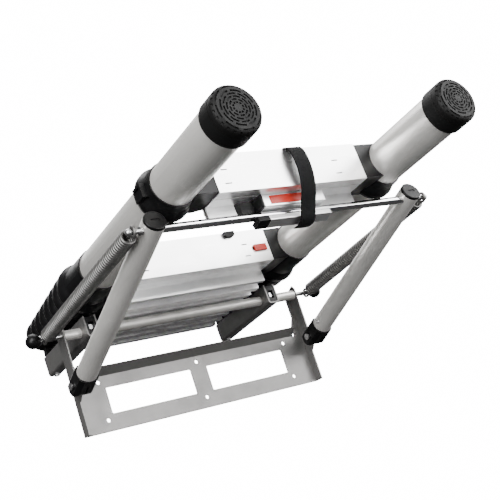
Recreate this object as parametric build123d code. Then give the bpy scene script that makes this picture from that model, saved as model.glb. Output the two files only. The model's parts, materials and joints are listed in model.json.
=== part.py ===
"""Telescopic attic ladder, folded into its hatch bracket. Units are millimetres.

Row frame: the origin is the centre of the bracket's screw pattern on its back face,
+X runs along the bracket, +Y points into the wall and +Z is up.
The ladder is modelled in a frame of its own, with the axle at the origin: the feet lie
towards -Y ("along" is counted that way) and +Z is across the treads ("rise").
"""
import os
from math import cos, radians, sin

from build123d import *

# bracket
BRACKET_WIDTH = 500.0
PLATE_LOW, PLATE_HIGH = -53.0, 46.0
SHEET = 2.5
HOLE_PITCH_X, HOLE_PITCH_Z = 200.0, 67.0
HOLE_RADIUS = 3.5
WINDOW_INNER, WINDOW_OUTER = 17.5, 189.0
WINDOW_LOW, WINDOW_HIGH = -23.5, 22.0
ARM_WEB, ARM_WEB_TOP = 21.0, 10.0
ARM_TAPER_LOW, ARM_TAPER_HIGH = 56.0, 80.0
ARM_TOP = 134.0
FLANGE_LOW_DEPTH, FLANGE_HIGH_DEPTH = 20.0, 29.0
FLANGE_STEP_Z = 8.0
LIP_LENGTH = 19.0
BOTTOM_LIP = 9.0
BEND = 3.0
ARM_HOLE_RADIUS = 3.0

# axle
AXLE_Y, AXLE_Z = -19.5, 120.5
AXLE_ROD_RADIUS = 4.0
AXLE_TUBE_RADIUS = 9.0
AXLE_TUBE_WALL = 1.5
AXLE_OVERHANG = 54.0
CAP_BALL_RADIUS = 13.0
WASHER_RADIUS, WASHER_THICK = 8.0, 2.0

# telescopic ladder
STOW_TILT = 3.5
SECTIONS = 8
STILE_X = 203.5
STILE_RISE = 66.0
TUBE_RADIUS = 35.5
TUBE_WALL = 1.5
TUBE_GAP = 0.5
RUNG_PITCH = 302.0
STACK_PITCH = 29.8
STACK_GAP = 0.5
TUBE_OVERLAP = 60.0
SECTION_TRAVEL = RUNG_PITCH - STACK_PITCH
COLLAR_FLARE = 9.8
FIRST_TIP = 24.0
LOW_COLLAR_SHIFT = 30.0
SLEEVE_LENGTH, LOW_SLEEVE_LENGTH = 94.0, 46.0
RUNG_HALF = 143.0
RUNG_DROP = 36.0
RUNG_LOW, RUNG_HIGH = 36.0, 100.0
TREAD_LOW, TREAD_HIGH = 15.0, 112.0
SLIM_LOW, SLIM_TREAD_LOW = 22.0, 11.0
TREAD_THICK_TALL, TREAD_THICK_SLIM = 10.0, 14.0
TALL_HEIGHT = 58.0
SOCKET_SHEAR = 16.0
RUNG_WALL = 2.2
GROOVES = 9
FOOT_END = 603.0
FOOT_LENGTH = 40.0
FOOT_RADIUS = 38.6
SOLE_THICK = 15.0
SOLE_ROUND = 9.0

# channels that carry the ladder's top end
CHANNEL_SHEET = 2.5
CHANNEL_PLACES = (-204.0, 178.0)
CHANNEL_HALF = 12.0
CHANNEL_BEND = 5.0
CHANNEL_LOW, CHANNEL_HIGH = -17.0, 20.0
CHANNEL_FOOT_END, CHANNEL_TOP_END = 28.0, -172.0
BLOCK_TOP = 18.0

# strut frame
PIVOT_Y, PIVOT_Z = -42.5, 28.5
STRUT_TILT = 19.4
STRUT_RADIUS = 17.5
STRUT_WALL = 1.5
STRUT_LENGTH = 396.0
STRUT_START = 32.0
CAP_THICK = 5.0
EAR_RADIUS = 13.0
PIN_RADIUS = 4.0
SLOT_REACH = 17.0
KNUCKLE_RADIUS = 17.5
ROD_RADIUS = 6.5
ROD_ALONG, ROD_RISE = 379.0, -3.5
RUNNING_FIT = 0.05
SIDE_GAP = 0.35

# springs
SPRING_X = BRACKET_WIDTH / 2 + 31.0
SPRING_RADIUS = 13.0
SPRING_WIRE = 3.0
EYE_CLEARANCE = 0.3
SPRING_PIN_RADIUS = 4.0

# release slides and locking pins in the second rung
SLIDE_X, SLIDE_RISE = 122.0, 63.0
MARK_X = (-122.0, 91.0)
MARK_RISE = (50.0, 73.0)
SLIDE_LENGTH, SLIDE_HEIGHT = 26.0, 12.0
SLIDE_TRAVEL = 10.0
LOCK_RADIUS = 3.0

# rest pad on the first rung, clamp bar on the cross rod, strap
PAD_LEFT, PAD_RIGHT = -60.0, 60.0
PAD_DEPTH = 28.0
PAD_LOW, PAD_HIGH = 15.0, 36.0
PAD_WING = 26.0
LABEL_LEFT, LABEL_RIGHT = -45.0, 35.0
LABEL_LOW, LABEL_HIGH = 18.5, 32.5
BAR_LEFT, BAR_RIGHT = -75.0, 65.0
BAR_THICK, BAR_DEPTH = 10.0, 20.0
BAR_CAP = 21.0
CAP_END = 3.0
STRAP_WIDTH, STRAP_THICK = 28.0, 2.0
STRAP_X = 14.0
STOP_X, STOP_WIDTH = 64.0, 21.0

HALF = BRACKET_WIDTH / 2
FLANGE_MID = HALF - SHEET / 2
LADDER = Location((0, AXLE_Y, AXLE_Z), (-STOW_TILT, 0, 0))
STRUT = Location((0, PIVOT_Y, PIVOT_Z), (-STRUT_TILT, 0, 0))


def block(x0, x1, y0, y1, z0, z1):
    """Box between two corners."""
    return Pos((x0 + x1) / 2, (y0 + y1) / 2, (z0 + z1) / 2) * Box(x1 - x0, y1 - y0, z1 - z0)


def rod_x(radius, x0, x1, y=0.0, z=0.0):
    """Cylinder along X."""
    return Pos((x0 + x1) / 2, y, z) * Rot(0, 90, 0) * Cylinder(radius, x1 - x0)


def rod_along(radius, x, start, end, rise=STILE_RISE):
    """Cylinder along the ladder, between two distances from the axle."""
    return Pos(x, -(start + end) / 2, rise) * Rot(90, 0, 0) * Cylinder(radius, abs(end - start))


def both_sides(shape):
    """A left-right pair of separate solids."""
    mirrored = mirror(shape, about=Plane.YZ)
    return Compound([*shape.solids(), *mirrored.solids()])


def at_channels(shape):
    """The shape at each channel's place across the ladder."""
    return Compound([Pos(x, 0, 0) * solid for x in CHANNEL_PLACES for solid in shape.solids()])


def union(parts):
    """One compound of separate solids."""
    solids = []
    for part in parts:
        solids.extend(part.solids())
    return Compound(solids)


def save(shape, node):
    export_step(shape, f"parts/{node}.step")


def tube_radius(section):
    """Outer radius of a section's stile tube, section 1 being the lowest and widest."""
    return TUBE_RADIUS - (section - 1) * (TUBE_WALL + TUBE_GAP)


def tip(rung):
    """Distance from the axle to the top of a rung's collar."""
    if rung == 1:
        return FIRST_TIP + RUNG_PITCH + LOW_COLLAR_SHIFT
    return FIRST_TIP - (rung - 2) * STACK_PITCH


def is_tall(rung):
    return rung <= 2


# ------------------------------------------------------------------ bracket
def bracket():
    plate = block(-HALF, HALF, -SHEET, 0, PLATE_LOW, PLATE_HIGH)
    web_outline = Polyline(
        (HALF, PLATE_HIGH - 1),
        (HALF, ARM_TOP),
        (HALF - ARM_WEB_TOP, ARM_TOP - 8),
        (HALF - ARM_WEB_TOP, ARM_TAPER_HIGH),
        (HALF - ARM_WEB, ARM_TAPER_LOW),
        (HALF - ARM_WEB, PLATE_HIGH - 1),
        close=True,
    )
    arms = extrude(make_face(Plane.XZ * web_outline), SHEET, dir=(0, -1, 0))
    low_flange = block(HALF - SHEET, HALF, -FLANGE_LOW_DEPTH, 0, PLATE_LOW, FLANGE_STEP_Z)
    outline = Polyline(
        (0, FLANGE_STEP_Z - 4),
        (-FLANGE_LOW_DEPTH, FLANGE_STEP_Z - 4),
        (-FLANGE_HIGH_DEPTH, FLANGE_STEP_Z + 4),
        (-FLANGE_HIGH_DEPTH, ARM_TOP - 4),
        (-FLANGE_HIGH_DEPTH + 6, ARM_TOP + 4),
        (0, ARM_TOP - 6),
        close=True,
    )
    high_flange = Pos(HALF - SHEET, 0, 0) * extrude(make_face(Plane.YZ * outline), SHEET, dir=(1, 0, 0))
    ear = rod_x(EAR_RADIUS, HALF - SHEET, HALF, PIVOT_Y, PIVOT_Z)
    neck = block(HALF - SHEET, HALF, PIVOT_Y, -SHEET, PIVOT_Z - EAR_RADIUS, PIVOT_Z + EAR_RADIUS)
    side = arms + low_flange + high_flange + ear + neck
    side -= rod_x(PIN_RADIUS, HALF - 10, HALF + 10, PIVOT_Y, PIVOT_Z)
    side -= rod_x(AXLE_ROD_RADIUS, HALF - 10, HALF + 10, AXLE_Y, AXLE_Z)
    hole = Pos(HALF - ARM_WEB, 0, PLATE_HIGH) * Rot(90, 0, 0) * Cylinder(ARM_HOLE_RADIUS, 20)

    lip_end = HALF - ARM_WEB - 1
    slope = LIP_LENGTH * cos(radians(45))
    lip_outline = Polyline(
        (0, PLATE_HIGH - SHEET),
        (-SHEET, PLATE_HIGH - SHEET),
        (-SHEET - slope, PLATE_HIGH - SHEET + slope),
        (-SHEET - slope + SHEET * 0.7, PLATE_HIGH - SHEET + slope + SHEET * 0.7),
        (0, PLATE_HIGH + SHEET * 0.4),
        close=True,
    )
    lip = Pos(-lip_end, 0, 0) * extrude(make_face(Plane.YZ * lip_outline), 2 * lip_end, dir=(1, 0, 0))
    foot_end = HALF - 8
    bottom = block(-foot_end, foot_end, -BOTTOM_LIP, 0, PLATE_LOW, PLATE_LOW + SHEET)
    body = plate + side + mirror(side, about=Plane.YZ) + lip + bottom
    body -= hole + mirror(hole, about=Plane.YZ)

    for x in (-HOLE_PITCH_X, 0, HOLE_PITCH_X):
        for z in (-HOLE_PITCH_Z / 2, HOLE_PITCH_Z / 2):
            body -= Pos(x, 0, z) * Rot(90, 0, 0) * Cylinder(HOLE_RADIUS, 20)
    window_width = WINDOW_OUTER - WINDOW_INNER
    window_height = WINDOW_HIGH - WINDOW_LOW
    window = extrude(RectangleRounded(window_width, window_height, 2), 20, both=True)
    for sign in (-1, 1):
        x = sign * (WINDOW_INNER + WINDOW_OUTER) / 2
        body -= Pos(x, 0, (WINDOW_LOW + WINDOW_HIGH) / 2) * Rot(90, 0, 0) * window
    return body


def axle_rod():
    reach = HALF + AXLE_OVERHANG
    return rod_x(AXLE_ROD_RADIUS, -reach, reach, AXLE_Y, AXLE_Z)


def axle_washers():
    start = HALF + AXLE_OVERHANG - CAP_BALL_RADIUS - WASHER_THICK
    ring = rod_x(WASHER_RADIUS, start, start + WASHER_THICK, AXLE_Y, AXLE_Z)
    ring -= rod_x(AXLE_ROD_RADIUS, start - 1, start + WASHER_THICK + 1, AXLE_Y, AXLE_Z)
    return both_sides(ring)


def axle_caps():
    start = HALF + AXLE_OVERHANG - CAP_BALL_RADIUS
    ball = Pos(start + CAP_BALL_RADIUS * 0.8, AXLE_Y, AXLE_Z) * Sphere(CAP_BALL_RADIUS)
    ball -= block(HALF, start, -60, 60, AXLE_Z - 40, AXLE_Z + 40)
    ball -= rod_x(AXLE_ROD_RADIUS, HALF, HALF + AXLE_OVERHANG, AXLE_Y, AXLE_Z)
    return both_sides(ball)


def strut_pivot_pins():
    reach = KNUCKLE_RADIUS + 1.5
    pin = rod_x(PIN_RADIUS, FLANGE_MID - reach, FLANGE_MID + reach, PIVOT_Y, PIVOT_Z)
    for sign in (-1, 1):
        start = FLANGE_MID + sign * (reach - 0.5)
        end = start + sign * 2.5
        pin += rod_x(PIN_RADIUS + 2, min(start, end), max(start, end), PIVOT_Y, PIVOT_Z)
    return both_sides(pin)


# ------------------------------------------------------------------ ladder top
def axle_tube():
    end = HALF - SHEET - 0.6
    tube = rod_x(AXLE_TUBE_RADIUS, -end, end)
    return tube - rod_x(AXLE_TUBE_RADIUS - AXLE_TUBE_WALL, -end - 1, end + 1)


def axle_bushes():
    end = HALF - SHEET - 0.6
    plug = rod_x(AXLE_TUBE_RADIUS - AXLE_TUBE_WALL, end - 18, end)
    return both_sides(plug - rod_x(AXLE_ROD_RADIUS + RUNNING_FIT, end - 20, end + 1))


def channels():
    length = CHANNEL_FOOT_END - CHANNEL_TOP_END
    height = CHANNEL_HIGH - CHANNEL_LOW
    outer = block(-CHANNEL_HALF, CHANNEL_HALF, 0, length, 0, height)
    outer = fillet(outer.edges().filter_by(Axis.Y).group_by(Axis.Z)[0], CHANNEL_BEND)
    inner_half = CHANNEL_HALF - CHANNEL_SHEET
    inner = block(-inner_half, inner_half, -1, length + 1, CHANNEL_SHEET, height + 10)
    inner = fillet(inner.edges().filter_by(Axis.Y).group_by(Axis.Z)[0], CHANNEL_BEND - CHANNEL_SHEET)
    body = Pos(0, -CHANNEL_FOOT_END, CHANNEL_LOW) * (outer - inner)
    return at_channels(body - rod_x(AXLE_TUBE_RADIUS, -HALF, HALF))


def pivot_blocks():
    """Plastic block in each channel, clamped round the axle tube."""
    half = CHANNEL_HALF - CHANNEL_SHEET
    low = CHANNEL_LOW + CHANNEL_SHEET
    body = block(-half, half, -CHANNEL_FOOT_END + 1, 22, low, BLOCK_TOP)
    body = chamfer(body.edges().filter_by(Axis.Y).group_by(Axis.Z)[0], 3)
    body -= rod_x(AXLE_TUBE_RADIUS, -HALF, HALF)
    front = -CHANNEL_FOOT_END
    return at_channels(body - block(-5, 5, front - 1, front + 9, -7, 9))


def block_bolts():
    """Bolt head in each block's pocket."""
    front = -CHANNEL_FOOT_END
    return at_channels(Pos(0, front + 7, 1) * Rot(90, 0, 0) * Cylinder(4.2, 4))


def channel_bolts():
    """Bolt under the far end of each channel, into the end cap."""
    return at_channels(Pos(0, -CHANNEL_TOP_END - 9, CHANNEL_LOW - 1.5) * Cylinder(5, 3))


# ------------------------------------------------------------------ telescopic sections
def stile_tubes(section):
    radius = tube_radius(section)
    top = tip(section + 1) + 10
    if section == 1:
        low = FOOT_END - SOLE_THICK - 6
    else:
        low = tip(section) + 10 + SECTION_TRAVEL + TUBE_OVERLAP
    tube = rod_along(radius, STILE_X, top, low)
    tube -= rod_along(radius - TUBE_WALL, STILE_X, top - 1, low + 1)
    if section == 1:
        tube -= rod_x(LOCK_RADIUS + 0.3, SLIDE_X, STILE_X, -lock_along(), SLIDE_RISE)
    return both_sides(tube)


def tread(rung):
    """Distance from the axle to a rung's tread."""
    return FIRST_TIP - (rung - 2) * (STACK_PITCH if rung > 1 else RUNG_PITCH) + RUNG_DROP


def lock_along():
    """Distance from the axle to the locking pins in the second rung."""
    return tread(2) + TALL_HEIGHT - 12


def rung_height(number):
    return TALL_HEIGHT if is_tall(number) else STACK_PITCH - STACK_GAP


def socket(number):
    """Arm from a collar to its rung, sheared so that the stowed arms nest."""
    top = tip(number)
    start = tread(number)
    end = start + rung_height(number) - 0.5
    ring_end = end if is_tall(number) else top + STACK_PITCH - STACK_GAP - 0.5
    outline = Polyline(
        (RUNG_HALF, -start - 0.5),
        (RUNG_HALF, -end),
        (RUNG_HALF + SOCKET_SHEAR, -ring_end),
        (STILE_X, -ring_end),
        (STILE_X, -top - 0.5),
        (RUNG_HALF + SOCKET_SHEAR, -top - 0.5),
        close=True,
    )
    low, high = (38, 98) if is_tall(number) else (40, 94)
    return Pos(0, 0, low) * extrude(make_face(outline), high - low, dir=(0, 0, 1))


def collars(number):
    """Collar at the top of a stile tube, with the arm that holds the rung."""
    section = max(number - 1, 1)
    outer = tube_radius(section) + COLLAR_FLARE - (0 if number > 1 else 1.5)
    top = tip(number)
    length = (LOW_SLEEVE_LENGTH, SLEEVE_LENGTH)[number - 1] if is_tall(number) else STACK_PITCH - STACK_GAP
    rim = tube_radius(section) + 2.2
    bead = [(0, top), (outer - 8, top), (outer - 2, top + 4), (outer, top + 9), (outer, top + 16)]
    if is_tall(number):
        foot = [(outer - 2.5, top + 23), (rim + 1, top + 31), (rim, top + length), (0, top + length)]
    else:
        foot = [(outer - 3, top + 22), (outer - 8, top + length), (0, top + length)]
    profile = Polyline(*bead, *foot, close=True)
    ring = Pos(STILE_X, 0, STILE_RISE) * Rot(180, 0, 0) * revolve(make_face(profile), Axis.Y)
    body = ring + socket(number)
    if number == 1:
        body += block(STILE_X + 36, STILE_X + 48, -top - 36, -top - 13, 55, 77)
        body -= block(STILE_X + 45.5, STILE_X + 49, -top - 32, -top - 17, 59, 73)
        return both_sides(body - rod_along(tube_radius(1), STILE_X, top - 1, tread(1) + TALL_HEIGHT + 1))
    body -= rod_along(tube_radius(section), STILE_X, top + 10, top + length + 1)
    if number <= SECTIONS:
        body -= rod_along(tube_radius(section + 1) + TUBE_GAP, STILE_X, top - 1, top + 11)
    if number == 2:
        body -= rod_x(LOCK_RADIUS + 0.1, RUNG_HALF - 1, STILE_X, -lock_along(), SLIDE_RISE)
    if number <= SECTIONS:
        return both_sides(body)
    bore = rod_along(tube_radius(section), STILE_X, top + 10, top + length + 1)
    caps = [half + (Pos(x, 0, 0) * end_mount() - side) for half, side, x in zip(
        (mirror(body, about=Plane.YZ), body), (mirror(bore, about=Plane.YZ), bore), CHANNEL_PLACES)]
    return Compound([solid for cap in caps for solid in cap.solids()])


def end_mount():
    """Foot of the top end cap, which stands in the channel."""
    top = tip(SECTIONS + 1)
    half = CHANNEL_HALF - CHANNEL_SHEET
    low = CHANNEL_LOW + CHANNEL_SHEET
    channel_end = -CHANNEL_TOP_END
    body = block(-half, half, -top - 28, channel_end - 1, low, STILE_RISE)
    return chamfer(body.edges().filter_by(Axis.Y).group_by(Axis.Z)[0], 3)


def rung(number):
    """Hollow tread extrusion with anti-slip grooves on its top."""
    top = tread(number)
    height = rung_height(number)
    thick = TREAD_THICK_TALL if is_tall(number) else TREAD_THICK_SLIM
    tread_low = TREAD_LOW if is_tall(number) else SLIM_TREAD_LOW
    low = RUNG_LOW if is_tall(number) else SLIM_LOW
    plate = block(-RUNG_HALF, RUNG_HALF, -top - thick, -top, tread_low, TREAD_HIGH)
    plate = fillet(plate.edges().filter_by(Axis.X), 1.5)
    body = plate + block(-RUNG_HALF, RUNG_HALF, -top - height, -top - thick + 2, low, RUNG_HIGH)
    hollow = RUNG_HALF + 1
    wall = RUNG_WALL
    body -= block(-hollow, hollow, -top - thick + wall, -top - 2 * wall, tread_low + wall, TREAD_HIGH - wall)
    body -= block(-hollow, hollow, -top - height + wall, -top - thick - wall, low + wall, RUNG_HIGH - wall)
    pitch = (TREAD_HIGH - tread_low - 12) / GROOVES
    for index in range(GROOVES):
        rise = tread_low + 6 + (index + 0.5) * pitch
        body -= block(-hollow, hollow, -top - 1.2, -top + 1, rise - 2, rise + 2)
    if not is_tall(number):
        return body
    face = top + height
    step = block(-hollow, hollow, -face + 21, -face + 24, low - 1, low + 1.2)
    body -= step
    for x in MARK_X:
        for rise in MARK_RISE:
            body -= block(x - 6, x + 6, -face - 1, -face + 5, rise - 1, rise + 1)
    if number == 2:
        start = SLIDE_X - SLIDE_LENGTH / 2 - 4
        body -= block(start, start + 4 + SLIDE_TRAVEL + 6, -face - 1, -face + 5, SLIDE_RISE - 3.3, SLIDE_RISE + 3.3)
    return body


def stop():
    """Rubber stop at the upper edge of the second rung."""
    face = tread(2) + TALL_HEIGHT
    half = STOP_WIDTH / 2
    body = block(STOP_X - half, STOP_X + half, -face - 7, -face, RUNG_HIGH - 10, RUNG_HIGH)
    return chamfer(body.edges().filter_by(Axis.Y).group_by(Axis.Z)[0], 3)


def feet():
    """Rubber shoe around the bottom of each stile."""
    start = FOOT_END - FOOT_LENGTH
    shoe = rod_along(FOOT_RADIUS, STILE_X, start, FOOT_END - SOLE_THICK)
    shoe = fillet(shoe.edges().group_by(Axis.Y)[-1], 1.5)
    return both_sides(shoe - rod_along(TUBE_RADIUS, STILE_X, start - 1, FOOT_END - SOLE_THICK - 6))


def foot_soles():
    """Treaded sole under each shoe."""
    sole = rod_along(FOOT_RADIUS, STILE_X, FOOT_END - SOLE_THICK, FOOT_END)
    sole = fillet(sole.edges().group_by(Axis.Y)[0], SOLE_ROUND)
    for radius in (8, 16, 24):
        ring = rod_along(radius + 1.6, STILE_X, FOOT_END - 2, FOOT_END + 1)
        ring -= rod_along(radius, STILE_X, FOOT_END - 3, FOOT_END + 2)
        sole -= ring
    return both_sides(sole)


# ------------------------------------------------------------------ release slides
def release_slide():
    """Sprung slide on the second rung, moved inwards to draw the locking pins."""
    face = tread(2) + TALL_HEIGHT
    half = SLIDE_LENGTH / 2
    pad = block(SLIDE_X - half, SLIDE_X + half, -face - 4.3, -face - 0.3,
                SLIDE_RISE - SLIDE_HEIGHT / 2, SLIDE_RISE + SLIDE_HEIGHT / 2)
    pad = fillet(pad.edges().filter_by(Axis.Y), 0.6)
    return pad + block(SLIDE_X - 1, SLIDE_X + 3, -face - 1, -face + 6, SLIDE_RISE - 3, SLIDE_RISE + 3)


def lock_pin(sign):
    along = lock_along()
    face = tread(2) + TALL_HEIGHT
    inner = SLIDE_X - 6
    body = rod_x(LOCK_RADIUS, inner, STILE_X - TUBE_RADIUS + 1.2, -along, SLIDE_RISE)
    body += block(inner, inner + 12, -face + 6, -along + 4, SLIDE_RISE - 4, SLIDE_RISE + 4)
    return body if sign > 0 else mirror(body, about=Plane.YZ)


# ------------------------------------------------------------------ rest pad and strap
def pad_foot_side():
    return tread(1) + TREAD_THICK_TALL + PAD_DEPTH


def rest_pad():
    """Hollow bar under the first rung, which comes down on the cross rod."""
    left, right = PAD_LEFT + CAP_END, PAD_RIGHT
    front, back = -pad_foot_side(), -tread(1) - TREAD_THICK_TALL
    outer = block(left, right, front, back, PAD_LOW, PAD_HIGH)
    outer = fillet(outer.edges().filter_by(Axis.X), 1.5)
    return outer - block(left - 1, right + 1, front + 2, back - 2, PAD_LOW + 2, PAD_HIGH - 2)


def rest_pad_cap():
    """Cap on the pad's end, with a wing along the tread."""
    front, back = -pad_foot_side(), -tread(1) - TREAD_THICK_TALL
    end = PAD_LEFT + CAP_END
    outline = Polyline((end, front), (PAD_LEFT, front), (PAD_LEFT - 5, back - 8), (PAD_LEFT - PAD_WING, back - 6),
                       (PAD_LEFT - PAD_WING - 6, back), (end, back), close=True)
    return Pos(0, 0, PAD_LOW) * extrude(make_face(outline), PAD_HIGH - PAD_LOW, dir=(0, 0, 1))


def label_plate():
    front = -pad_foot_side()
    return block(LABEL_LEFT, LABEL_RIGHT, front - 0.6, front, LABEL_LOW, LABEL_HIGH)


def strap():
    """Webbing that ties the first rung to the cross rod."""
    face = tread(1) + TALL_HEIGHT
    path = [(face - 40, RUNG_HIGH + 0.3), (face + 2.3, RUNG_HIGH + 0.3), (face + 12, RUNG_HIGH - 12), (face + 15, 60),
            (face + 6, 28), (face - 16, 6), (face - 17, -9), (face - 42, -17), (face - 52, -12)]
    segments = []
    for (start, low), (end, high) in zip(path, path[1:]):
        run = Vector(0, start - end, high - low)
        side = run.cross(Vector(1, 0, 0)).normalized() * STRAP_THICK
        corner = Vector(0, -start, low)
        outline = Polyline(corner, corner + run, corner + run + side, corner + side, close=True)
        segments.append(extrude(make_face(outline), STRAP_WIDTH, dir=(1, 0, 0)))
        segments.append(rod_x(STRAP_THICK, 0, STRAP_WIDTH, -start, low))
    band = segments[0]
    for segment in segments[2:]:
        band += segment
    return Pos(STRAP_X - STRAP_WIDTH / 2, 0, 0) * band


# ------------------------------------------------------------------ strut frame
def strut_tubes():
    tube = rod_along(STRUT_RADIUS, FLANGE_MID, STRUT_START, STRUT_LENGTH - CAP_THICK, 0)
    tube -= rod_along(STRUT_RADIUS - STRUT_WALL, FLANGE_MID, STRUT_START - 1, STRUT_LENGTH, 0)
    tube -= rod_x(ROD_RADIUS, HALF / 2, FLANGE_MID, -ROD_ALONG, ROD_RISE)
    tube -= rod_x(SPRING_PIN_RADIUS, FLANGE_MID, HALF + 60, -ROD_ALONG, ROD_RISE)
    return both_sides(tube)


def strut_caps():
    inner = STRUT_RADIUS - STRUT_WALL
    cap = rod_along(STRUT_RADIUS, FLANGE_MID, STRUT_LENGTH - CAP_THICK, STRUT_LENGTH, 0)
    cap = fillet(cap.edges().group_by(Axis.Y)[0], 2)
    cap += rod_along(inner, FLANGE_MID, STRUT_LENGTH - CAP_THICK - 5, STRUT_LENGTH - CAP_THICK, 0)
    cap -= block(FLANGE_MID - 7, FLANGE_MID + 7, -STRUT_LENGTH - 1, -STRUT_LENGTH + 1.2, -2, 2)
    return both_sides(cap)


def knuckles():
    """Plastic fork that plugs into a strut and straddles the bracket's ear."""
    inner = STRUT_RADIUS - STRUT_WALL
    body = rod_x(KNUCKLE_RADIUS, FLANGE_MID - KNUCKLE_RADIUS, FLANGE_MID + KNUCKLE_RADIUS)
    body += block(FLANGE_MID - KNUCKLE_RADIUS, FLANGE_MID + KNUCKLE_RADIUS, -STRUT_START, 0,
                  -KNUCKLE_RADIUS, KNUCKLE_RADIUS)
    body &= rod_along(KNUCKLE_RADIUS + 3, FLANGE_MID, -KNUCKLE_RADIUS - 1, STRUT_START, 0)
    body += rod_along(inner, FLANGE_MID, STRUT_START - 1, STRUT_START + 28, 0)
    slot = SHEET / 2 + SIDE_GAP
    body -= block(FLANGE_MID - slot, FLANGE_MID + slot, -SLOT_REACH, 40, -40, 40)
    body -= rod_x(PIN_RADIUS + RUNNING_FIT, HALF / 2, HALF + 60)
    return both_sides(body)


def strut_screws():
    head = Pos(FLANGE_MID - STRUT_RADIUS - 1, -STRUT_START - 14, 0) * Rot(0, 90, 0) * Cylinder(4.5, 2.6)
    return both_sides(head - rod_along(STRUT_RADIUS, FLANGE_MID, STRUT_START, STRUT_START + 40, 0))


def cross_rod():
    reach = FLANGE_MID - 2
    return rod_x(ROD_RADIUS, -reach, reach, -ROD_ALONG, ROD_RISE)


def spring_pins():
    shank = rod_x(SPRING_PIN_RADIUS, FLANGE_MID, SPRING_X + 4, -ROD_ALONG, ROD_RISE)
    shank += rod_x(SPRING_PIN_RADIUS + 2.5, HALF + 17, HALF + 20, -ROD_ALONG, ROD_RISE)
    shank += Pos(SPRING_X + 6, -ROD_ALONG, ROD_RISE) * Sphere(SPRING_PIN_RADIUS + 1.5)
    return both_sides(shank)


def bar_block(left, right):
    low = ROD_RISE - ROD_RADIUS - BAR_THICK
    bar = block(left, right, -ROD_ALONG - BAR_DEPTH / 2, -ROD_ALONG + BAR_DEPTH / 2, low, low + BAR_THICK)
    return fillet(bar.edges().filter_by(Axis.X), 1.5)


def clamp_bar():
    """Bar fixed under the cross rod, which spreads the strap's pull."""
    return bar_block(BAR_LEFT + BAR_CAP, BAR_RIGHT)


def clamp_bar_cap():
    return bar_block(BAR_LEFT, BAR_LEFT + BAR_CAP)


def spring(sign):
    """Close-coiled tension spring between the axle rod and the strut pin, as its outer tube."""
    angle = radians(STRUT_TILT)
    pin_y = PIVOT_Y - ROD_ALONG * cos(angle) + ROD_RISE * sin(angle)
    pin_z = PIVOT_Z + ROD_ALONG * sin(angle) + ROD_RISE * cos(angle)
    low = Vector(sign * SPRING_X, AXLE_Y, AXLE_Z)
    high = Vector(sign * SPRING_X, pin_y, pin_z)
    way = (high - low).normalized()
    start, end = low + way * 16, high - way * 14
    coil = Solid.make_cylinder(SPRING_RADIUS, (end - start).length, Plane(start, z_dir=way))
    coil -= Solid.make_cylinder(SPRING_RADIUS - SPRING_WIRE, (end - start).length, Plane(start, z_dir=way))
    low_eye = eye(low, way, AXLE_ROD_RADIUS)
    high_eye = eye(high, way * -1, SPRING_PIN_RADIUS)
    return coil + low_eye + high_eye


def eye(centre, way, pin_radius):
    """End loop of a spring round a pin, joined to the coil by a short shank."""
    ring_radius = pin_radius + SPRING_WIRE / 2 + EYE_CLEARANCE
    ring = Solid.make_torus(ring_radius, SPRING_WIRE / 2, Plane(centre, z_dir=(1, 0, 0)))
    start = centre + way * ring_radius
    shank = Solid.make_cylinder(SPRING_WIRE / 2, 17 - ring_radius, Plane(start, z_dir=way))
    disc = Solid.make_cylinder(SPRING_RADIUS - SPRING_WIRE / 2, SPRING_WIRE, Plane(centre + way * 16, z_dir=way))
    return ring + shank + disc


def main():
    os.makedirs("parts", exist_ok=True)
    save(bracket(), "bracket")
    save(axle_rod(), "axle_rod")
    save(axle_washers(), "axle_washers")
    save(axle_caps(), "axle_caps")
    save(strut_pivot_pins(), "strut_pivot_pins")

    for piece in (axle_tube, axle_bushes, channels, pivot_blocks, block_bolts, channel_bolts):
        save(LADDER * piece(), piece.__name__)
    for section in range(1, SECTIONS + 1):
        save(LADDER * stile_tubes(section), f"stile_tubes_{section}")
    for number in range(1, SECTIONS + 2):
        save(LADDER * collars(number), f"collars_{number}")
        save(LADDER * rung(number), f"rung_{number}")
    for piece in (feet, foot_soles, stop, release_slide, rest_pad, rest_pad_cap, label_plate, strap):
        save(LADDER * piece(), piece.__name__)
    for name, sign in (("left", -1), ("right", 1)):
        save(LADDER * lock_pin(sign), f"lock_pin_{name}")
        save(spring(sign), f"spring_{name}")

    strut_pieces = (strut_tubes, strut_caps, knuckles, strut_screws, cross_rod, spring_pins, clamp_bar, clamp_bar_cap)
    for piece in strut_pieces:
        save(STRUT * piece(), piece.__name__)


main()
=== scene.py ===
"""Studio scene of a telescopic attic ladder folded on its hatch bracket.

The part's solids come in as a fixed frame. This add-on gives them their finishes and
models the coil springs, the webbing strap, the treaded soles and the small screws.
Lengths are metres. The ladder's own frame starts at its axle: "along" runs to the feet
and "rise" is across the treads.
"""
import json
from math import atan2, cos, pi, radians, sin

import bmesh
import bpy
from bpy.props import BoolProperty, FloatProperty, FloatVectorProperty, IntProperty, PointerProperty
from bpy.types import Operator, Panel, PropertyGroup
from mathutils import Matrix, Vector


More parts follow.
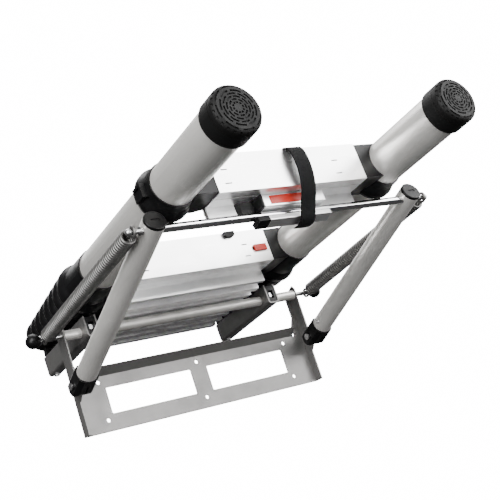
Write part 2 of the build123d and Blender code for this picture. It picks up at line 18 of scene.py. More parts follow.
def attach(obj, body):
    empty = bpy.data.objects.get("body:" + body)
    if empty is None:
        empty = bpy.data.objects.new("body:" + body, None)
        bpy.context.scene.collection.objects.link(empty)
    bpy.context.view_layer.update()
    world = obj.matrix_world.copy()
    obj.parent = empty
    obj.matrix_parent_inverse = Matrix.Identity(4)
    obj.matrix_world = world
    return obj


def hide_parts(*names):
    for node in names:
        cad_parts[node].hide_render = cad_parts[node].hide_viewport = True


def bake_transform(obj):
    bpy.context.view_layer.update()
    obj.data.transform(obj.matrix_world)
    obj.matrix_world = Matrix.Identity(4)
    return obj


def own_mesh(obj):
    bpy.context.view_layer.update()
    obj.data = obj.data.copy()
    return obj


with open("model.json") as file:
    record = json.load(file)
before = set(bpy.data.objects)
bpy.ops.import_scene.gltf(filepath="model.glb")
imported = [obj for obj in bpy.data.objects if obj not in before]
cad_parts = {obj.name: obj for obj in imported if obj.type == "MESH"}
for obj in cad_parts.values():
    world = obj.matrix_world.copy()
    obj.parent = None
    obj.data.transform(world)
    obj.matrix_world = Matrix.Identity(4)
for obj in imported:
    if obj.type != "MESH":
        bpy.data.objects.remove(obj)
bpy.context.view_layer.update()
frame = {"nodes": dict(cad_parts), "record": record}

bl_info = {
    "name": "Attic Ladder Studio",
    "version": (1, 0, 0),
    "blender": (4, 5, 0),
    "location": "View3D > Sidebar > Attic Ladder",
    "description": "Finishes and details for a telescopic attic ladder",
    "category": "Object",
}

AXLE = Vector((0.0, -0.0195, 0.1205))
STOW_TILT = radians(3.5)
ALONG = Vector((0.0, -cos(STOW_TILT), sin(STOW_TILT)))
RISE = Vector((0.0, sin(STOW_TILT), cos(STOW_TILT)))
STILE_X, STILE_RISE = 0.2035, 0.066
FOOT_END = 0.603

STRUT_PIVOT = Vector((0.0, -0.0425, 0.0285))
STRUT_TILT = radians(19.4)
STRUT_ALONG = Vector((0.0, -cos(STRUT_TILT), sin(STRUT_TILT)))
STRUT_RISE = Vector((0.0, sin(STRUT_TILT), cos(STRUT_TILT)))
STRUT_X = 0.24875
CROSS_ROD_ALONG, CROSS_ROD_RISE = 0.379, -0.0035
SOCKET_SCREW_ALONG, SOCKET_SCREW_INSET = 0.046, 0.0172

SPRING_X = 0.281
SPRING_START, SPRING_END = 0.016, 0.014  # from the centre of the pin at each end
EYE_INNER_RADIUS = 0.0047

# the strap's middle line, along the ladder and across its treads
STRAP_PATH = (
    (0.385, 0.1013), (0.405, 0.1013), (0.4195, 0.1013), (0.4275, 0.098), (0.433, 0.088),
    (0.4355, 0.072), (0.4345, 0.054), (0.430, 0.036), (0.4215, 0.020), (0.411, 0.008),
    (0.4035, -0.003), (0.399, -0.0105), (0.391, -0.0155), (0.380, -0.0165), (0.370, -0.0135),
)
STRAP_COLUMNS = 4

SOLE_RADIUS, SOLE_ROUND, SOLE_DEPTH = 0.0385, 0.009, 0.0145
SOLE_SECTORS = 120
# inner and outer radius of each ring of slots, sectors in a slot with its gap, slot's share, offset
TREAD_RINGS = (
    (0.0062, 0.0090, 12, 0.60, 0), (0.0112, 0.0136, 15, 0.72, 3), (0.0158, 0.0182, 15, 0.74, 10),
    (0.0204, 0.0228, 15, 0.76, 3), (0.0250, 0.0276, 15, 0.78, 10),
)
RING_LIFT = 0.00008

CAMERA_PLACE = Vector((-0.9582, -1.5607, -0.2767))
CAMERA_FORWARD = Vector((0.57594, 0.77727, 0.25327))
CAMERA_RIGHT = Vector((0.80929, -0.49834, -0.31097))
LIGHT_AIM = Vector((0.0, -0.3, 0.12))
# name, place, size, which power, share of that power
LIGHTS = (
    ("Key", (-1.4, -1.9, 1.0), (1.6, 1.2), "key_power", 1.0),
    ("Front strip", (0.5, -2.4, -0.1), (0.5, 1.6), "fill_power", 1.0),
    ("Top", (0.3, 0.3, 2.2), (2.0, 1.4), "key_power", 0.8),
    ("Right strip", (2.0, -0.6, 0.5), (0.5, 1.8), "fill_power", 1.0),
    ("Left sheet", (-2.3, -1.7, 0.1), (1.6, 1.6), "key_power", 1.0),
    ("Back", (0.6, 2.4, 1.2), (2.0, 1.2), "fill_power", 1.0),
    ("Sheet", (1.7, -2.3, 1.1), (2.2, 1.8), "sheet_power", 1.0),
)


def ladder_point(x, along, rise):
    """A point given in the ladder's own frame."""
    return AXLE + Vector((x, 0, 0)) + ALONG * along + RISE * rise


def strut_point(x, along, rise):
    """A point given along a strut from its pivot."""
    return STRUT_PIVOT + Vector((x, 0, 0)) + STRUT_ALONG * along + STRUT_RISE * rise


# ---------------------------------------------------------------- settings
class LadderSizes(PropertyGroup):
    """Sizes of the modelled details"""

    spring_turns: IntProperty(name="Spring turns", description="Turns of each coil spring", default=60, min=10)
    spring_radius: FloatProperty(
        name="Spring radius", description="Middle radius of a coil spring", default=0.0104, unit="LENGTH"
    )
    spring_wire: FloatProperty(
        name="Spring wire", description="Radius of the spring wire", default=0.0025, unit="LENGTH"
    )
    strap_width: FloatProperty(
        name="Strap width", description="Width of the webbing", default=0.028, unit="LENGTH"
    )
    strap_thickness: FloatProperty(
        name="Strap thickness", description="Thickness of the webbing", default=0.0018, unit="LENGTH"
    )
    strap_x: FloatProperty(
        name="Strap place", description="Middle of the strap across the ladder", default=0.014, unit="LENGTH"
    )
    sole_recess: FloatProperty(
        name="Sole recess", description="Depth of the sole's slots", default=0.0022, unit="LENGTH"
    )


class LadderColours(PropertyGroup):
    """Colours of the finishes"""

    bracket: FloatVectorProperty(
        name="Bracket", description="Grey of the painted steel", subtype="COLOR", size=3,
        default=(0.165, 0.162, 0.158),
    )
    tube: FloatVectorProperty(
        name="Stile tubes", description="Satin aluminium of the stiles", subtype="COLOR", size=3,
        default=(0.78, 0.765, 0.735),
    )
    tread: FloatVectorProperty(
        name="Rungs", description="Bright aluminium of the rungs", subtype="COLOR", size=3,
        default=(0.93, 0.93, 0.93),
    )
    plastic: FloatVectorProperty(
        name="Plastic", description="Black of the collars and caps", subtype="COLOR", size=3,
        default=(0.0018, 0.0018, 0.002),
    )
    accent: FloatVectorProperty(
        name="Red parts", description="Red of the release slide and the label", subtype="COLOR", size=3,
        default=(0.42, 0.03, 0.02),
    )


class StageSettings(PropertyGroup):
    """Camera and light"""

    lens: FloatProperty(
        name="Lens", description="Focal length of the camera in millimetres", default=72.75, min=10
    )
    key_power: FloatProperty(name="Key light", description="Power of the key light", default=70.0, min=0)
    fill_power: FloatProperty(name="Fill light", description="Power of the fill light", default=30.0, min=0)
    sheet_power: FloatProperty(
        name="Sheet light", description="Power of the big light the rungs reflect", default=130.0, min=0
    )
    ambient: FloatProperty(name="Ambient", description="Strength of the surrounding light", default=0.22, min=0)


# ---------------------------------------------------------------- shader groups
def group(name, inputs, outputs):
    """A new shader node group with named sockets, and its input and output nodes."""
    tree = bpy.data.node_groups.new(name, "ShaderNodeTree")
    for label, kind, default in inputs:
        socket = tree.interface.new_socket(name=label, in_out="INPUT", socket_type=kind)
        if default is not None:
            socket.default_value = default
    for label, kind in outputs:
        tree.interface.new_socket(name=label, in_out="OUTPUT", socket_type=kind)
    return tree, tree.nodes.new("NodeGroupInput"), tree.nodes.new("NodeGroupOutput")


def node(tree, kind, inputs=(), **values):
    """A node with its properties set and its inputs linked or valued."""
    made = tree.nodes.new(kind)
    for key, value in values.items():
        setattr(made, key, value)
    for key, value in dict(inputs).items():
        if isinstance(value, bpy.types.NodeSocket):
            tree.links.new(value, made.inputs[key])
        else:
            made.inputs[key].default_value = value
    return made


def ramp(tree, value, low, high, out_low=0.0, out_high=1.0):
    """A value mapped from one range to another."""
    made = node(tree, "ShaderNodeMapRange", {"Value": value, "From Min": low, "From Max": high})
    made.inputs["To Min"].default_value = out_low
    made.inputs["To Max"].default_value = out_high
    return made.outputs["Result"]


def tinted(tree, colour, factor, other):
    """Two colours mixed by a mask."""
    made = tree.nodes.new("ShaderNodeMix")
    made.data_type = "RGBA"
    tree.links.new(factor, made.inputs["Factor"])
    for socket, value in ((made.inputs["A"], colour), (made.inputs["B"], other)):
        if isinstance(value, bpy.types.NodeSocket):
            tree.links.new(value, socket)
        else:
            socket.default_value = (*value[:3], 1.0)
    return made.outputs["Result"]


def drawn_grain_group():
    """Fine lines of drawn or brushed metal, with slow cloudiness."""
    tree, taken, given = group(
        "Drawn Grain",
        [("Vector", "NodeSocketVector", None), ("Scale", "NodeSocketFloat", 900.0)],
        [("Lines", "NodeSocketFloat"), ("Cloud", "NodeSocketFloat")],
    )
    lines = node(
        tree, "ShaderNodeTexNoise",
        {"Vector": taken.outputs["Vector"], "Scale": taken.outputs["Scale"], "Detail": 4.0},
    )
    slow = node(tree, "ShaderNodeTexNoise", {"Vector": taken.outputs["Vector"], "Scale": 34.0, "Detail": 3.0})
    tree.links.new(lines.outputs["Fac"], given.inputs["Lines"])
    tree.links.new(slow.outputs["Fac"], given.inputs["Cloud"])
    return tree


def handling_group():
    """Mask of smudges, dust and small scratches from handling."""
    tree, taken, given = group(
        "Handling Marks",
        [("Vector", "NodeSocketVector", None), ("Amount", "NodeSocketFloat", 1.0)],
        [("Smudge", "NodeSocketFloat"), ("Scratch", "NodeSocketFloat")],
    )
    cloud = node(tree, "ShaderNodeTexNoise", {"Vector": taken.outputs["Vector"], "Scale": 18.0, "Detail": 5.0})
    smudge = ramp(tree, cloud.outputs["Fac"], 0.48, 0.75)
    scaled = node(tree, "ShaderNodeMath", operation="MULTIPLY")
    tree.links.new(smudge, scaled.inputs[0])
    tree.links.new(taken.outputs["Amount"], scaled.inputs[1])
    cells = node(
        tree, "ShaderNodeTexVoronoi", {"Vector": taken.outputs["Vector"], "Scale": 60.0},
        feature="DISTANCE_TO_EDGE",
    )
    thin = ramp(tree, cells.outputs["Distance"], 0.0, 0.012, 1.0, 0.0)
    both = node(tree, "ShaderNodeMath", operation="MULTIPLY")
    tree.links.new(thin, both.inputs[0])
    tree.links.new(smudge, both.inputs[1])
    tree.links.new(scaled.outputs[0], given.inputs["Smudge"])
    tree.links.new(both.outputs[0], given.inputs["Scratch"])
    return tree


def moulded_group():
    """Fine spark-eroded texture of moulded plastic, as a height."""
    tree, taken, given = group(
        "Moulded Texture",
        [("Vector", "NodeSocketVector", None), ("Scale", "NodeSocketFloat", 1400.0)],
        [("Height", "NodeSocketFloat"), ("Variation", "NodeSocketFloat")],
    )
    fine = node(
        tree, "ShaderNodeTexNoise",
        {"Vector": taken.outputs["Vector"], "Scale": taken.outputs["Scale"], "Detail": 2.0},
    )
    slow = node(tree, "ShaderNodeTexNoise", {"Vector": taken.outputs["Vector"], "Scale": 45.0, "Detail": 4.0})
    tree.links.new(fine.outputs["Fac"], given.inputs["Height"])
    tree.links.new(slow.outputs["Fac"], given.inputs["Variation"])
    return tree


def weave_group():
    """Twill of flat webbing, from coordinates in metres along and across the band; its shade output is painted
    shade, darker between the threads.
    """
    tree, taken, given = group(
        "Webbing Weave",
        [("Vector", "NodeSocketVector", None), ("Thread", "NodeSocketFloat", 0.0016)],
        [("Height", "NodeSocketFloat"), ("Painted Weave Shade", "NodeSocketFloat")],
    )
    pieces = node(tree, "ShaderNodeSeparateXYZ", {"Vector": taken.outputs["Vector"]})
    waves = []
    for axis, factor in (("X", 1.0), ("Y", 0.8)):
        phase = node(tree, "ShaderNodeMath", operation="DIVIDE")
        tree.links.new(pieces.outputs[axis], phase.inputs[0])
        tree.links.new(taken.outputs["Thread"], phase.inputs[1])
        turn = node(tree, "ShaderNodeMath", operation="MULTIPLY")
        tree.links.new(phase.outputs[0], turn.inputs[0])
        turn.inputs[1].default_value = 2 * pi * factor
        wave = node(tree, "ShaderNodeMath", operation="SINE")
        tree.links.new(turn.outputs[0], wave.inputs[0])
        waves.append(wave.outputs[0])
    cross = node(tree, "ShaderNodeMath", operation="MULTIPLY")
    tree.links.new(waves[0], cross.inputs[0])
    tree.links.new(waves[1], cross.inputs[1])
    height = ramp(tree, cross.outputs[0], -1.0, 1.0)
    fuzz = node(tree, "ShaderNodeTexNoise", {"Vector": taken.outputs["Vector"], "Scale": 2600.0, "Detail": 2.0})
    added = node(tree, "ShaderNodeMath", operation="MULTIPLY_ADD")
    tree.links.new(fuzz.outputs["Fac"], added.inputs[0])
    added.inputs[1].default_value = 0.3
    tree.links.new(height, added.inputs[2])
    tree.links.new(added.outputs[0], given.inputs["Height"])
    # painted shade: the weave's height, darker where it sinks between the threads
    tree.links.new(height, given.inputs["Painted Weave Shade"])
    return tree


# ---------------------------------------------------------------- materials
def start_material(name, scale=(1, 1, 1), turn=(0, 0, 0), coordinate="Object"):
    """A material with its Principled shader and a mapped coordinate."""
    made = bpy.data.materials.new(name)
    made.use_nodes = True
    tree = made.node_tree
    shader = next(n for n in tree.nodes if n.type == "BSDF_PRINCIPLED")
    place = tree.nodes.new("ShaderNodeTexCoord")
    mapping = node(tree, "ShaderNodeMapping", {"Vector": place.outputs[coordinate]})
    mapping.inputs["Scale"].default_value = scale
    mapping.inputs["Rotation"].default_value = turn
    return made, tree, shader, mapping.outputs["Vector"]


def placed(tree, kit, vector, **values):
    """A shader group placed in a material."""
    made = node(tree, "ShaderNodeGroup")
    made.node_tree = kit
    tree.links.new(vector, made.inputs["Vector"])
    for key, value in values.items():
        made.inputs[key].default_value = value
    return made.outputs


def bump(tree, shader, height, strength, distance):
    """A bump from a height to the shader's normal."""
    made = node(tree, "ShaderNodeBump", {"Height": height, "Strength": strength, "Distance": distance})
    tree.links.new(made.outputs["Normal"], shader.inputs["Normal"])


def metal(name, kits, colour, scale, turn=(0, 0, 0), rough=(0.25, 0.4), metallic=1.0, grain=0.12, dark=0.86):
    """Drawn metal with grain lines, slow cloudiness and handling marks."""
    made, tree, shader, vector = start_material(name, scale, turn)
    plain = node(tree, "ShaderNodeTexCoord").outputs["Object"]
    lines = placed(tree, kits["grain"], vector, Scale=900.0)
    marks = placed(tree, kits["handling"], plain, Amount=0.7)
    darker = [c * dark for c in colour]
    base = tinted(tree, colour, ramp(tree, lines["Cloud"], 0.35, 0.65), darker)
    base = tinted(tree, base, marks["Scratch"], [min(1.0, c * 1.1) for c in colour])
    tree.links.new(base, shader.inputs["Base Color"])
    blended = node(tree, "ShaderNodeMath", operation="MULTIPLY_ADD")
    tree.links.new(marks["Smudge"], blended.inputs[0])
    blended.inputs[1].default_value = 0.08
    tree.links.new(ramp(tree, lines["Lines"], 0.3, 0.7, rough[0], rough[1]), blended.inputs[2])
    tree.links.new(blended.outputs[0], shader.inputs["Roughness"])
    shader.inputs["Metallic"].default_value = metallic
    bump(tree, shader, lines["Lines"], grain, 0.0004)
    return made


def plastic(name, kits, colour, rough=(0.32, 0.46), grain=0.1, scale=1400.0, lift=2.2, specular=0.5):
    """Moulded plastic or rubber with a fine texture and rubbed lighter patches."""
    made, tree, shader, vector = start_material(name)
    skin = placed(tree, kits["moulded"], vector, Scale=scale)
    marks = placed(tree, kits["handling"], vector, Amount=0.6)
    base = tinted(tree, colour, marks["Smudge"], [min(1.0, c * lift + 0.0006) for c in colour])
    tree.links.new(base, shader.inputs["Base Color"])
    tree.links.new(ramp(tree, skin["Variation"], 0.3, 0.7, rough[0], rough[1]), shader.inputs["Roughness"])
    shader.inputs["Specular IOR Level"].default_value = specular
    bump(tree, shader, skin["Height"], grain, 0.0003)
    return made


def painted_steel(name, kits, colour):
    """Powder-coated steel with a faint orange-peel skin."""
    made, tree, shader, vector = start_material(name)
    skin = placed(tree, kits["moulded"], vector, Scale=520.0)
    marks = placed(tree, kits["handling"], vector, Amount=0.8)
    base = tinted(tree, colour, ramp(tree, skin["Variation"], 0.3, 0.7), [c * 0.9 for c in colour])
    base = tinted(tree, base, marks["Scratch"], [min(1.0, c * 1.2) for c in colour])
    tree.links.new(base, shader.inputs["Base Color"])
    tree.links.new(ramp(tree, marks["Smudge"], 0.0, 1.0, 0.36, 0.5), shader.inputs["Roughness"])
    shader.inputs["Metallic"].default_value = 0.55
    bump(tree, shader, skin["Height"], 0.08, 0.0004)
    return made


def webbing(name, kits):
    """Black woven webbing with raised threads and painted shade darker between them."""
    made, tree, shader, vector = start_material(name, coordinate="UV")
    woven = placed(tree, kits["weave"], vector, Thread=0.0022)
    # painted shade in the weave: darker between the threads, lighter on the raised ones
    base = tinted(tree, (0.0006, 0.0006, 0.0008), woven["Painted Weave Shade"], (0.004, 0.004, 0.0045))
    tree.links.new(base, shader.inputs["Base Color"])
    tree.links.new(ramp(tree, woven["Height"], 0.0, 1.3, 0.8, 0.6), shader.inputs["Roughness"])
    shader.inputs["Specular IOR Level"].default_value = 0.12
    shader.inputs["Sheen Weight"].default_value = 0.01
    shader.inputs["Sheen Roughness"].default_value = 0.5
    bump(tree, shader, woven["Height"], 0.7, 0.0006)
    return made


class LADDER_OT_finishes(Operator):
    """Make the finishes and put them on the part's solids"""

    bl_idname = "ladder.finishes"
    bl_label = "Apply Finishes"

    def execute(self, context):
        colours = context.scene.ladder_colours
        kits = {
            "grain": drawn_grain_group(), "handling": handling_group(),
            "moulded": moulded_group(), "weave": weave_group(),
        }
        along_ladder = (1.0, 0.03, 1.0)
        along_width = (0.03, 1.0, 1.0)
        finishes = {
            "bracket_steel": painted_steel("Bracket Steel", kits, colours.bracket),
            "tube_aluminium": metal("Satin Stile Aluminium", kits, colours.tube, along_ladder,
                                    (-STOW_TILT, 0, 0), rough=(0.32, 0.42), metallic=0.62),
            "rung_aluminium": metal("Bright Rung Aluminium", kits, colours.tread, along_width,
                                    rough=(0.27, 0.35), metallic=0.95, dark=0.97),
            "strut_aluminium": metal("Strut Aluminium", kits, colours.tube, along_ladder, (-STRUT_TILT, 0, 0),
                                     rough=(0.36, 0.46), metallic=0.62),
            "black_plastic": plastic("Black Moulded Plastic", kits, colours.plastic, specular=0.22),
            "black_rubber": plastic(
                "Black Rubber", kits, (0.003, 0.0029, 0.0029), (0.5, 0.66), 0.2, 900.0, specular=0.18
            ),
            "chrome_steel": metal("Polished Chrome", kits, (0.8, 0.8, 0.81), along_width, rough=(0.06, 0.12),
                                  grain=0.02, dark=0.95),
            "zinc_steel": metal("Zinc Plate", kits, (0.6, 0.6, 0.6), along_width, rough=(0.22, 0.34),
                                grain=0.05),
            "spring_steel": metal("Oiled Spring Steel", kits, (0.16, 0.157, 0.153), (1, 1, 1),
                                  rough=(0.32, 0.42), metallic=0.8, grain=0.05),
            "red_plastic": plastic("Red Plastic", kits, colours.accent, (0.28, 0.36), 0.05, lift=1.1,
                                   specular=0.2),
            "label": plastic("Red Label", kits, colours.accent, (0.22, 0.3), 0.02, lift=1.15, specular=0.2),
            "webbing": webbing("Black Webbing", kits),
        }
        for part in frame["record"]["subparts"]:
            cad = frame["nodes"][part["node"]]
            finish = finishes[part["material_slot"]]
            if not cad.data.materials:
                cad.data.materials.append(finish)
            for index in range(len(cad.material_slots)):
                cad.material_slots[index].material = finish
        return {"FINISHED"}


# ---------------------------------------------------------------- mesh helpers
def finished(name, mesh, material, body, smooth=True):
    """A bmesh turned into a piece that rides on a body."""
    data = bpy.data.meshes.new(name)
    mesh.to_mesh(data)
    mesh.free()
    piece = bpy.data.objects.new(name, data)
    bpy.context.scene.collection.objects.link(piece)
    data.materials.append(bpy.data.materials[material])
    for face in data.polygons:
        face.use_smooth = smooth
    if body:
        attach(piece, body)
    return piece


def outward(mesh):
    """Merge doubled vertices and turn the faces outwards."""
    bmesh.ops.remove_doubles(mesh, verts=mesh.verts, dist=1e-6)
    bmesh.ops.recalc_face_normals(mesh, faces=mesh.faces)


def new_verts(made):
    """The vertices among what an operator made."""
    return [item for item in made if isinstance(item, bmesh.types.BMVert)]


def far_edges(made, verts):
    """The new edges that join new vertices only."""
    edges = (item for item in made if isinstance(item, bmesh.types.BMEdge))
    return [edge for edge in edges if all(vert in verts for vert in edge.verts)]


def axes(origin, direction, side=Vector((1, 0, 0))):
    """A placing matrix whose Z is a direction."""
    z = direction.normalized()
    x = (side - z * side.dot(z)).normalized()
    y = z.cross(x)
    return Matrix.Translation(origin) @ Matrix((x, y, z)).transposed().to_4x4()


# ---------------------------------------------------------------- springs
class LADDER_OT_springs(Operator):
    """Model the close-coiled tension springs with their end loops"""

    bl_idname = "ladder.springs"
    bl_label = "Coil Springs"

    def execute(self, context):
        sizes = context.scene.ladder_sizes
        for side, sign in (("left", -1), ("right", 1)):
            low = AXLE + Vector((sign * SPRING_X, 0, 0))
            high = strut_point(sign * SPRING_X, CROSS_ROD_ALONG, CROSS_ROD_RISE)
            way = (high - low).normalized()
            start, end = low + way * SPRING_START, high - way * SPRING_END
            length = (end - start).length
            mesh = bmesh.new()
            self.coil(mesh, length, sizes)
            bmesh.ops.transform(mesh, matrix=axes(start, way), verts=mesh.verts)
            self.hook(mesh, low, way, EYE_INNER_RADIUS + sizes.spring_wire, sizes)
            self.hook(mesh, high, -way, EYE_INNER_RADIUS + sizes.spring_wire, sizes)
            outward(mesh)
            piece = finished(f"coil_spring_{side}", mesh, "Oiled Spring Steel", None)
            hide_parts(f"spring_{side}")
            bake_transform(piece)
        return {"FINISHED"}

    def coil(self, mesh, length, sizes):
        """The close coils, from the origin up the Z axis."""
        around, per_turn = 6, 16
        steps = sizes.spring_turns * per_turn
        upwards = Vector((0, 0, 1))
        rings = []
        for step in range(steps + 1):
            turn = 2 * pi * step / per_turn
            outwards = Vector((cos(turn), sin(turn), 0))
            middle = outwards * sizes.spring_radius + upwards * (length * step / steps)
            rings.append([
                mesh.verts.new(
                    middle + (outwards * cos(2 * pi * i / around) + upwards * sin(2 * pi * i / around))
                    * sizes.spring_wire
                )
                for i in range(around)
            ])
        for before, after in zip(rings, rings[1:]):
            for i in range(around):
                j = (i + 1) % around
                mesh.faces.new((before[i], before[j], after[j], after[i]))
        mesh.faces.new(rings[0])
        mesh.faces.new(rings[-1])

    def hook(self, mesh, centre, way, radius, sizes):
        """The end loop round a pin, with its shank to the coil."""
        ring = bmesh.ops.create_circle(mesh, segments=6, radius=sizes.spring_wire)["verts"]
        bmesh.ops.rotate(mesh, verts=ring, matrix=Matrix.Rotation(pi / 2, 3, "X"))
        bmesh.ops.translate(mesh, verts=ring, vec=(radius, 0, 0))
        edges = list({e for v in ring for e in v.link_edges})
        before = set(mesh.verts)
        bmesh.ops.spin(
            mesh, geom=ring + edges, cent=(0, 0, 0), axis=(0, 0, 1), angle=2 * pi, steps=28,
            use_merge=True, use_duplicate=False,
        )
        fresh = [v for v in mesh.verts if v not in before] + ring
        fresh = [v for v in set(fresh) if v.is_valid]
        bmesh.ops.transform(mesh, matrix=axes(centre, Vector((1, 0, 0)), way), verts=fresh)
        shank = bmesh.ops.create_cone(
            mesh, segments=8, radius1=sizes.spring_wire, radius2=sizes.spring_wire, depth=0.010, cap_ends=True
        )["verts"]
        bmesh.ops.transform(mesh, matrix=axes(centre + way * (radius + 0.005), way), verts=shank)


# ---------------------------------------------------------------- strap
class LADDER_OT_strap(Operator):
    """Model the woven strap that ties the first rung to the cross rod"""

    bl_idname = "ladder.strap"
    bl_label = "Webbing Strap"

    def execute(self, context):
        sizes = context.scene.ladder_sizes
        mesh = bmesh.new()
        half = sizes.strap_width / 2
        row = [
            mesh.verts.new(ladder_point(sizes.strap_x - half + 2 * half * i / STRAP_COLUMNS, *STRAP_PATH[0]))
            for i in range(STRAP_COLUMNS + 1)
        ]
        edges = [mesh.edges.new(pair) for pair in zip(row, row[1:])]
        layer = mesh.loops.layers.uv.new("UVMap")
        travelled = 0.0
        places = {vert: (i / STRAP_COLUMNS * sizes.strap_width, 0.0) for i, vert in enumerate(row)}
        for before, after in zip(STRAP_PATH, STRAP_PATH[1:]):
            step = ladder_point(0, *after) - ladder_point(0, *before)
            travelled += step.length
            made = bmesh.ops.extrude_edge_only(mesh, edges=edges)["geom"]
            verts = new_verts(made)
            bmesh.ops.translate(mesh, verts=verts, vec=step)
            verts.sort(key=lambda v: v.co.x)
            edges = far_edges(made, verts)
            for i, vert in enumerate(verts):
                places[vert] = (i / STRAP_COLUMNS * sizes.strap_width, travelled)
        for face in mesh.faces:
            for loop in face.loops:
                loop[layer].uv = places[loop.vert]
        bmesh.ops.recalc_face_normals(mesh, faces=mesh.faces)
        piece = finished("webbing_strap", mesh, "Black Webbing", "section_1")
        curve = piece.modifiers.new("Smooth bends", "SUBSURF")
        curve.levels = curve.render_levels = 2
        wall = piece.modifiers.new("Thickness", "SOLIDIFY")
        wall.thickness = sizes.strap_thickness
        wall.offset = 0.0
        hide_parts("strap")
        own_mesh(piece)
        return {"FINISHED"}


# ---------------------------------------------------------------- soles
def sector_of(point):
    """Which of the sole's sectors a point is in."""
    return int((atan2(point.y, point.x) / (2 * pi) % 1) * SOLE_SECTORS)


class LADDER_OT_soles(Operator):
    """Model the treaded rubber soles with their rings of slots"""

    bl_idname = "ladder.soles"
    bl_label = "Treaded Soles"

    def execute(self, context):
        sizes = context.scene.ladder_sizes
        rings = [edge for ring in TREAD_RINGS for edge in ring[:2]]
        mesh = bmesh.new()
        for sign in (-1, 1):
            part = bmesh.new()
            rim = bmesh.ops.create_circle(part, segments=SOLE_SECTORS, radius=SOLE_RADIUS)["verts"]
            bmesh.ops.translate(part, verts=rim, vec=(0, 0, -SOLE_DEPTH))
            loop = self.grow(part, list(part.edges), 1.0, SOLE_DEPTH - SOLE_ROUND)
            lifted = 0.0
            for step in range(1, 6):
                turn = step * pi / 12
                radius = SOLE_RADIUS - SOLE_ROUND * (1 - cos(turn))
                lift = SOLE_ROUND * sin(turn)
                loop = self.grow(part, loop, radius / self.radius(loop), lift - lifted)
                lifted = lift
            for radius in reversed(rings):
                loop = self.grow(part, loop, radius / self.radius(loop), RING_LIFT)
            bmesh.ops.edgeloop_fill(part, edges=loop)
            bmesh.ops.holes_fill(part, edges=[e for e in part.edges if e.is_boundary], sides=0)
            outward(part)
            slots = [face for face in part.faces if self.is_slot(face)]
            made = bmesh.ops.extrude_face_region(part, geom=slots)["geom"]
            sunk = new_verts(made)
            bmesh.ops.translate(part, verts=sunk, vec=(0, 0, -sizes.sole_recess))
            bmesh.ops.delete(part, geom=[f for f in slots if f.is_valid], context="FACES")
            outward(part)
            place = axes(ladder_point(sign * STILE_X, FOOT_END, STILE_RISE), ALONG)
            bmesh.ops.transform(part, matrix=place, verts=part.verts)
            data = bpy.data.meshes.new("sole")
            part.to_mesh(data)
            part.free()
            mesh.from_mesh(data)
        piece = finished("treaded_soles", mesh, "Black Rubber", "section_1", smooth=False)
        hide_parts("foot_soles")
        return {"FINISHED"}

    def radius(self, loop):
        """Distance of an edge loop from the middle."""
        point = loop[0].verts[0].co
        return Vector((point.x, point.y)).length

    def grow(self, mesh, loop, scale, lift):
        """Extrude an edge loop, scale it about the middle and lift it."""
        made = bmesh.ops.extrude_edge_only(mesh, edges=loop)["geom"]
        verts = new_verts(made)
        bmesh.ops.scale(mesh, vec=(scale, scale, 1), verts=verts)
        bmesh.ops.translate(mesh, verts=verts, vec=(0, 0, lift))
        return far_edges(made, verts)

    def is_slot(self, face):
        """Whether a face of the sole is at the bottom of a slot or a rim notch."""
        middle = face.calc_center_median()
        radius = Vector((middle.x, middle.y)).length
        sector = sector_of(middle)
        if radius > SOLE_RADIUS - SOLE_ROUND:
            if 0.88 < face.normal.z < 0.96:
                return (sector + 3) % 15 < 11
            return 0.3 < face.normal.z < 0.7 and sector % 5 < 2
        if face.normal.z < 0.9:
            return False
        for low, high, dash, share, offset in TREAD_RINGS:
            if low < radius < high:
                return (sector + offset) % dash < dash * share
        return False


# ---------------------------------------------------------------- screws
class LADDER_OT_screws(Operator):
    """Model the domed screws that hold the struts in their knuckles"""

    bl_idname = "ladder.screws"
    bl_label = "Screw Heads"

    def execute(self, context):
        mesh = bmesh.new()
        for sign in (-1, 1):
            middle = strut_point(sign * (STRUT_X - SOCKET_SCREW_INSET), SOCKET_SCREW_ALONG, 0)
            place = axes(middle, Vector((-sign, 0, 0)), Vector((0, 0, 1)))
            self.head(mesh, place, 0.0045, 0.0024)
        outward(mesh)
        piece = finished("socket_screws", mesh, "Zinc Plate", "strut_frame")
        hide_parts("strut_screws")
        return {"FINISHED"}

    def head(self, mesh, place, radius, height):
        """A domed head with a cross recess."""
        base = bmesh.ops.create_cone(
            mesh, segments=32, radius1=radius, radius2=radius * 0.72, depth=height, cap_ends=True
        )["verts"]
        faces = {f for v in base for f in v.link_faces if f.normal.z > 0.9 and len(f.verts) > 8}
        inset = bmesh.ops.inset_region(mesh, faces=list(faces), thickness=radius * 0.38)
        inner = [f for f in faces if f.is_valid]
        made = bmesh.ops.extrude_face_region(mesh, geom=inner)["geom"]
        sunk = new_verts(made)
        bmesh.ops.translate(mesh, verts=sunk, vec=(0, 0, -height * 0.5))
        bmesh.ops.delete(mesh, geom=[f for f in inner if f.is_valid], context="FACES")
        whole = set(base) | set(sunk) | {v for f in inset["faces"] if f.is_valid for v in f.verts}
        bmesh.ops.transform(mesh, matrix=place, verts=[v for v in whole if v.is_valid])


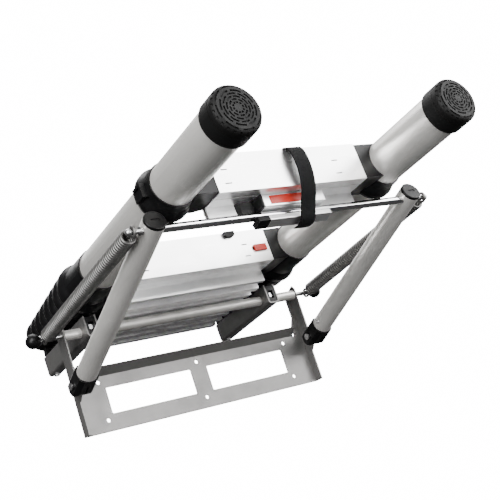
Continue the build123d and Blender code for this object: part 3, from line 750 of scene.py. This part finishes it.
# ---------------------------------------------------------------- stage
class LADDER_OT_stage(Operator):
    """Set out the soft studio light and the camera"""

    bl_idname = "ladder.stage"
    bl_label = "Studio Stage"

    def execute(self, context):
        settings = context.scene.ladder_stage
        self.camera(context, settings)
        self.surroundings(context, settings)
        for name, place, size, power, share in LIGHTS:
            self.light(name, Vector(place), size, getattr(settings, power) * share)
        return {"FINISHED"}

    def camera(self, context, settings):
        forward, right = CAMERA_FORWARD.normalized(), CAMERA_RIGHT.normalized()
        up = right.cross(forward).normalized()
        data = bpy.data.cameras.new("Studio camera")
        data.sensor_width = 36.0
        data.lens = settings.lens
        data.clip_start, data.clip_end = 0.05, 60.0
        camera = bpy.data.objects.new("Studio camera", data)
        context.scene.collection.objects.link(camera)
        turn = Matrix((right, up, -forward)).transposed().to_4x4()
        camera.matrix_world = Matrix.Translation(CAMERA_PLACE) @ turn
        context.scene.camera = camera

    def surroundings(self, context, settings):
        """White behind the object, and a softer grey all round for the reflections."""
        world = bpy.data.worlds.new("Studio")
        context.scene.world = world
        world.use_nodes = True
        tree = world.node_tree
        tree.nodes.clear()
        seen = node(tree, "ShaderNodeBackground", {"Color": (1, 1, 1, 1), "Strength": 16.0})
        place = tree.nodes.new("ShaderNodeTexCoord")
        pieces = node(tree, "ShaderNodeSeparateXYZ", {"Vector": place.outputs["Generated"]})
        shade = ramp(tree, pieces.outputs["Z"], -0.4, 0.6, 0.3, 1.0)
        lit = node(tree, "ShaderNodeBackground", {"Color": (1, 1, 1, 1)})
        strength = node(tree, "ShaderNodeMath", operation="MULTIPLY")
        tree.links.new(shade, strength.inputs[0])
        strength.inputs[1].default_value = settings.ambient
        tree.links.new(strength.outputs[0], lit.inputs["Strength"])
        path = tree.nodes.new("ShaderNodeLightPath")
        mix = node(tree, "ShaderNodeMixShader")
        tree.links.new(path.outputs["Is Camera Ray"], mix.inputs[0])
        tree.links.new(lit.outputs[0], mix.inputs[1])
        tree.links.new(seen.outputs[0], mix.inputs[2])
        out = tree.nodes.new("ShaderNodeOutputWorld")
        tree.links.new(mix.outputs[0], out.inputs["Surface"])

    def light(self, name, place, size, power):
        data = bpy.data.lights.new(name, "AREA")
        data.shape = "RECTANGLE"
        data.size, data.size_y = size
        data.energy = power
        lamp = bpy.data.objects.new(name, data)
        turn = (LIGHT_AIM - place).to_track_quat("-Z", "Y").to_matrix().to_4x4()
        lamp.matrix_world = Matrix.Translation(place) @ turn
        bpy.context.scene.collection.objects.link(lamp)


class LADDER_PT_panel(Panel):
    """Ladder tools in the sidebar"""

    bl_idname = "LADDER_PT_panel"
    bl_label = "Attic Ladder"
    bl_space_type = "VIEW_3D"
    bl_region_type = "UI"
    bl_category = "Attic Ladder"

    def draw(self, context):
        column = self.layout.column()
        for group_name in ("ladder_sizes", "ladder_colours", "ladder_stage"):
            settings = getattr(context.scene, group_name)
            for key in settings.bl_rna.properties.keys():
                if key not in ("rna_type", "name"):
                    column.prop(settings, key)
        for operator in OPERATORS:
            column.operator(operator.bl_idname)


OPERATORS = (
    LADDER_OT_finishes, LADDER_OT_springs, LADDER_OT_strap, LADDER_OT_soles, LADDER_OT_screws, LADDER_OT_stage,
)
CLASSES = (LadderSizes, LadderColours, StageSettings, *OPERATORS, LADDER_PT_panel)


def register():
    for item in CLASSES:
        bpy.utils.register_class(item)
    bpy.types.Scene.ladder_sizes = PointerProperty(type=LadderSizes)
    bpy.types.Scene.ladder_colours = PointerProperty(type=LadderColours)
    bpy.types.Scene.ladder_stage = PointerProperty(type=StageSettings)


def unregister():
    del bpy.types.Scene.ladder_stage
    del bpy.types.Scene.ladder_colours
    del bpy.types.Scene.ladder_sizes
    for item in reversed(CLASSES):
        bpy.utils.unregister_class(item)


def main():
    register()
    bpy.ops.ladder.finishes()
    bpy.ops.ladder.springs()
    bpy.ops.ladder.strap()
    bpy.ops.ladder.soles()
    bpy.ops.ladder.screws()
    bpy.ops.ladder.stage()
    bpy.context.view_layer.update()


if __name__ == "__main__":
    main()
